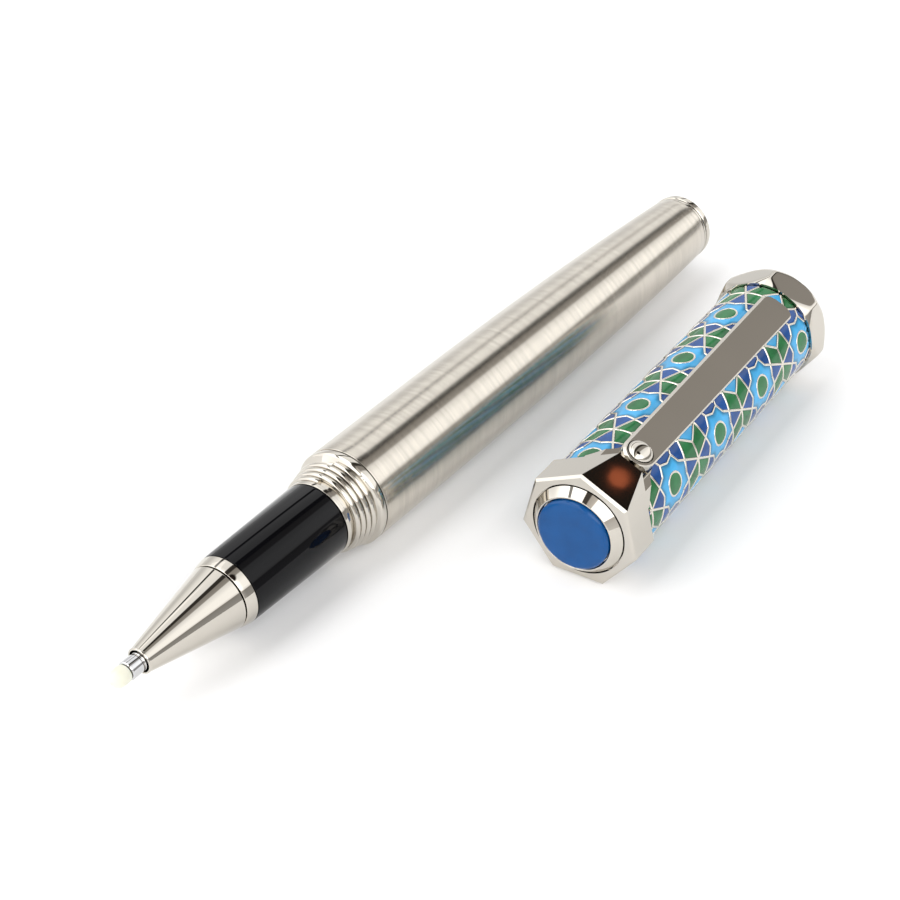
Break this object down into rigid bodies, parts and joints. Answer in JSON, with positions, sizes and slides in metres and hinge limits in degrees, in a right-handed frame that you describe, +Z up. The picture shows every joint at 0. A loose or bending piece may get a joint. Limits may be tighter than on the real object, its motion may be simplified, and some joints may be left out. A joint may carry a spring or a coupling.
{
  "type": "rollerball pen",
  "caption": "Screw-cap rollerball pen with brushed metal barrel and black grip, lying uncapped beside its seven-sided cap with enamel tube, stone-set crown and clip.",
  "frame": {"origin": "middle of the layout's footprint, on the surface that it lies on", "axes": "+X along the pen from its nose to its tail, +Y from the cap to the pen, +Z up"},
  "size_m": [0.1216, 0.0404, 0.0159],
  "materials": {
    "polished_metal": "mirror polished, warm white plating",
    "brushed_metal": "satin, brushed round the barrel",
    "brass": "machined",
    "steel": "drawn",
    "black_lacquer": "gloss black",
    "black_plastic": "moulded",
    "rubber": "matte",
    "ink_fibre": "ink-soaked fibre",
    "wax": "ivory sealing wax",
    "enamel": "glossy enamel in raised metal outlines",
    "blue_stone": "smooth gloss"
  },
  "bodies": {
    "section": {"nose_cone": "polished_metal", "nose_band": "polished_metal", "grip_core": "brass", "grip_sleeve": "black_lacquer", "thread_collar": "polished_metal", "section_o_ring": "rubber"},
    "barrel_carrier": {"refill_spring": "steel"},
    "barrel_screw": {"spring_seat": "brass"},
    "barrel": {"barrel_shell": "brushed_metal", "barrel_insert": "brass", "tail_ring": "polished_metal", "tail_cap": "polished_metal"},
    "refill": {"refill_tube": "steel", "refill_nose": "black_plastic", "refill_tip": "steel", "ink_reservoir": "ink_fibre", "refill_plug": "black_plastic"},
    "ball": {"writing_ball": "steel"},
    "seal": {"tip_wax": "wax"},
    "cap": {"cap_crown": "polished_metal", "crown_bezel": "polished_metal", "crown_stone": "blue_stone", "crown_screw": "brass", "enamel_tube": "enamel", "cap_liner": "brass", "cap_inner_cup": "black_plastic", "lip_ring": "polished_metal", "clip_stud": "polished_metal"},
    "clip": {"clip_arm": "polished_metal"}
  },
  "joints": [
    {"name": "barrel_pull", "type": "slide", "parent": "section", "child": "barrel_carrier", "axis": [1, 0, 0], "range_m": [0, 0.08]},
    {"name": "barrel_travel", "type": "slide", "parent": "barrel_carrier", "child": "barrel_screw", "axis": [1, 0, 0], "range_m": [0, 0.00451]},
    {"name": "barrel_turn", "type": "hinge", "parent": "barrel_screw", "child": "barrel", "pos_m": [-0.02005, 0.0139, 0.00626], "axis": [1, 0, 0], "range_deg": [0, 2160]},
    {"name": "refill_float", "type": "slide", "parent": "section", "child": "refill", "axis": [1, 0, 0], "range_m": [0, 0.0008], "stiffness_N_per_m": 300},
    {"name": "ball_roll", "type": "hinge", "parent": "refill", "child": "ball", "pos_m": [-0.05965, 0.0139, 0.00626], "axis": [0, 1, 0], "continuous": true},
    {"name": "wax_pull", "type": "slide", "parent": "refill", "child": "seal", "axis": [-1, 0, 0], "range_m": [0, 0.006]},
    {"name": "cap_slide", "type": "slide", "parent": "section", "child": "cap", "axis": [-0.9983, -0.0576, -0.0052], "range_m": [0, 0.045]},
    {"name": "clip_flex", "type": "hinge", "parent": "cap", "child": "clip", "pos_m": [-0.0029, -0.01575, 0.01416], "axis": [0.0541, -0.8993, -0.4339], "range_deg": [0, 4], "stiffness_Nm_per_rad": 1}
  ],
  "couplings": [
    {"joint": "barrel_travel", "follows": "barrel_turn", "m_per_rad": 0.00011937}
  ]
}
